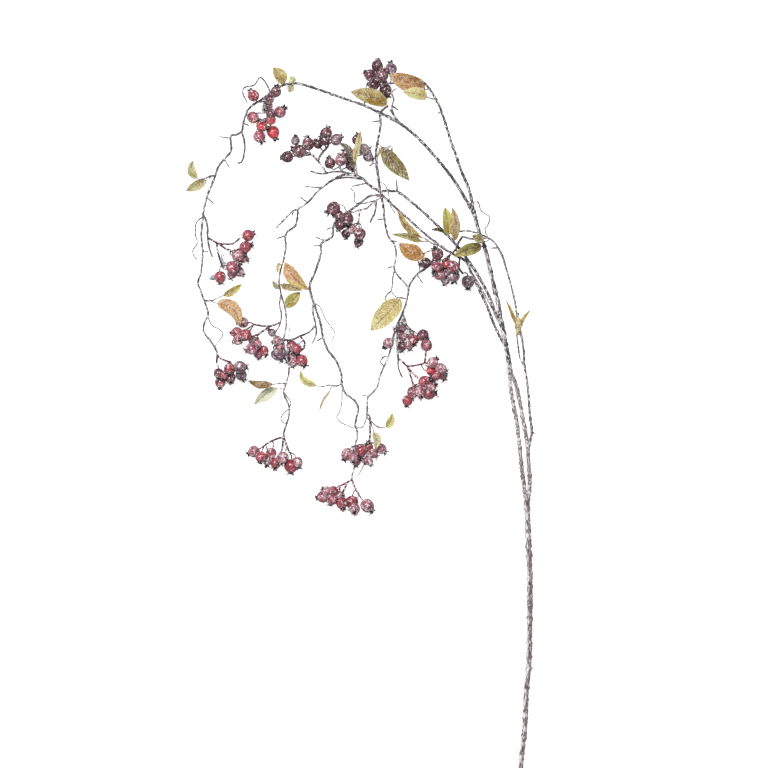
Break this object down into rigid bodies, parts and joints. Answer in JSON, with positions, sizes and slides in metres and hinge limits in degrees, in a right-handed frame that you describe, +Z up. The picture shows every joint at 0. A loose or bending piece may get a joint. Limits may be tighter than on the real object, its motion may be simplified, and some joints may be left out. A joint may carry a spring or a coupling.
{
  "type": "rose hip sprig",
  "caption": "Cut woody sprig with an arching, branching crown, small bunches of round red to plum rose hips on thin stalks, and a few dry leaves, lying on its side.",
  "frame": {"origin": "middle of the sprig's length and width, on the surface it lies on", "axes": "+Y from the cut end of the stem towards the arching crown, +X towards the side of the stem that bears no bunches, +Z up from the surface"},
  "size_m": [0.384, 0.8069, 0.0739],
  "materials": {
    "bark": "rough frosted bark",
    "hip_red": "smooth waxy skin with frost",
    "hip_rose": "smooth waxy skin with frost",
    "hip_plum": "smooth waxy skin with frost",
    "leaf_tan": "dry veined leaf with frost",
    "leaf_olive": "dry veined leaf with frost",
    "leaf_brown": "dry veined leaf with frost",
    "leaf_pale": "dry veined leaf with frost"
  },
  "bodies": {
    "root": {"stem": "bark", "hips_01": "hip_red", "hips_02": "hip_plum", "hips_03": "hip_plum", "hips_04": "hip_plum", "hips_05": "hip_plum", "hips_06": "hip_red", "hips_07": "hip_plum", "hips_08": "hip_rose", "hips_09": "hip_rose", "hips_10": "hip_rose", "hips_11": "hip_red", "hips_12": "hip_rose", "hips_13": "hip_rose", "hips_14": "hip_rose", "hips_15": "hip_rose", "leaf_01": "leaf_olive", "leaf_02": "leaf_pale", "leaf_03": "leaf_pale", "leaf_04": "leaf_olive", "leaf_05": "leaf_tan", "leaf_06": "leaf_pale", "leaf_07": "leaf_brown", "leaf_08": "leaf_olive", "leaf_09": "leaf_brown", "leaf_10": "leaf_pale", "leaf_11": "leaf_olive", "leaf_12": "leaf_olive", "leaf_13": "leaf_olive", "leaf_14": "leaf_tan", "leaf_15": "leaf_olive", "leaf_16": "leaf_tan", "leaf_17": "leaf_olive", "leaf_18": "leaf_pale", "leaf_19": "leaf_brown", "leaf_20": "leaf_tan", "leaf_21": "leaf_tan", "leaf_22": "leaf_tan", "leaf_23": "leaf_tan", "leaf_24": "leaf_olive", "leaf_25": "leaf_pale", "leaf_26": "leaf_brown", "leaf_27": "leaf_olive", "leaf_28": "leaf_tan", "leaf_29": "leaf_tan", "leaf_30": "leaf_brown", "leaf_31": "leaf_pale", "leaf_32": "leaf_pale", "leaf_33": "leaf_pale", "leaf_34": "leaf_pale", "leaf_35": "leaf_pale", "leaf_36": "leaf_olive"}
  },
  "joints": []
}
